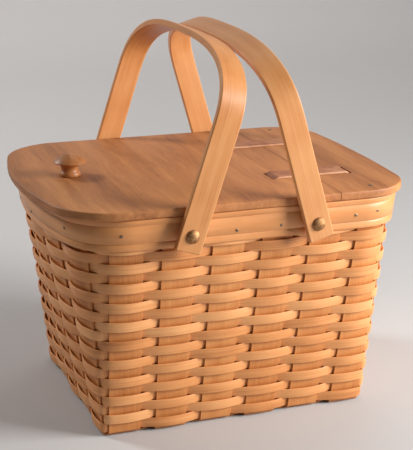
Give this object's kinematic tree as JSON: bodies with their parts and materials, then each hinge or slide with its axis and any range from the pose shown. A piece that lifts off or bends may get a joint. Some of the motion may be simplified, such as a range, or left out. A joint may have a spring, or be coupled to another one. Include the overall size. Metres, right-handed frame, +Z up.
{
  "type": "picnic basket",
  "caption": "Woven wood splint basket with a rounded wooden rim, a two-panel lid on leather hinge straps, a knob and two swing handles.",
  "frame": {"origin": "on the table, under the middle of the basket's overall length and width", "axes": "+Z up, X along the long side with the lifting end of the lid at -X, front long side at -Y"},
  "size_m": [0.35, 0.2898, 0.3584],
  "materials": {
    "weaver_wood": "thin honey-brown stained maple splint, satin",
    "splint_wood": "wide honey-brown stained maple splint, satin",
    "rim_wood": "bent wood band, honey-brown stain, satin",
    "handle_wood": "bent wood strip, light honey stain, satin",
    "lid_wood": "reddish-brown stained board, satin",
    "knob_wood": "turned wood, reddish-brown stain, satin",
    "strap_leather": "pinkish-brown vegetable-tanned leather, matt",
    "bronze": "aged copper-bronze",
    "steel": "plain steel"
  },
  "bodies": {
    "basket": {"weaver_row_01": "weaver_wood", "weaver_row_02": "weaver_wood", "weaver_row_03": "weaver_wood", "weaver_row_04": "weaver_wood", "weaver_row_05": "weaver_wood", "weaver_row_06": "weaver_wood", "weaver_row_07": "weaver_wood", "weaver_row_08": "weaver_wood", "weaver_row_09": "weaver_wood", "weaver_row_10": "weaver_wood", "weaver_row_11": "weaver_wood", "weaver_row_12": "weaver_wood", "weaver_row_13": "weaver_wood", "weaver_row_14": "weaver_wood", "weaver_row_15": "weaver_wood", "weaver_row_16": "weaver_wood", "weaver_row_17": "weaver_wood", "weaver_row_18": "weaver_wood", "weaver_row_19": "weaver_wood", "weaver_row_20": "weaver_wood", "cross_splint_1": "splint_wood", "cross_splint_2": "splint_wood", "cross_splint_3": "splint_wood", "cross_splint_4": "splint_wood", "cross_splint_5": "splint_wood", "cross_splint_6": "splint_wood", "long_splint_1": "splint_wood", "long_splint_2": "splint_wood", "long_splint_3": "splint_wood", "long_splint_4": "splint_wood", "long_splint_5": "splint_wood", "rim_outer_band": "rim_wood", "rim_inner_band": "rim_wood", "handle_spacer_left_front": "rim_wood", "handle_spacer_left_back": "rim_wood", "handle_spacer_right_front": "rim_wood", "handle_spacer_right_back": "rim_wood", "fixed_lid_panel": "lid_wood", "hinge_strap_front": "strap_leather", "hinge_strap_back": "strap_leather", "handle_rivet_left_front": "bronze", "handle_rivet_left_back": "bronze", "handle_rivet_right_front": "bronze", "handle_rivet_right_back": "bronze", "rivet_burr_left_front": "bronze", "rivet_burr_left_back": "bronze", "rivet_burr_right_front": "bronze", "rivet_burr_right_back": "bronze", "lid_nail_front": "steel", "lid_nail_back": "steel"},
    "lid": {"lid_panel": "lid_wood", "lid_knob": "knob_wood", "knob_screw": "steel"},
    "left_handle": {"left_handle": "handle_wood"},
    "right_handle": {"right_handle": "handle_wood"}
  },
  "joints": [
    {"name": "lid_hinge", "type": "hinge", "parent": "basket", "child": "lid", "pos_m": [0.0917, 0, 0.2238], "axis": [0, 1, 0], "range_deg": [0, 34], "deforming": ["hinge_strap_front", "hinge_strap_back"]},
    {"name": "left_handle_swing", "type": "hinge", "parent": "basket", "child": "left_handle", "pos_m": [-0.0531, 0, 0.1983], "axis": [0, -1, 0], "range_deg": [0, 155]},
    {"name": "right_handle_swing", "type": "hinge", "parent": "basket", "child": "right_handle", "pos_m": [0.0661, 0, 0.1983], "axis": [0, 1, 0], "range_deg": [0, 155]}
  ]
}
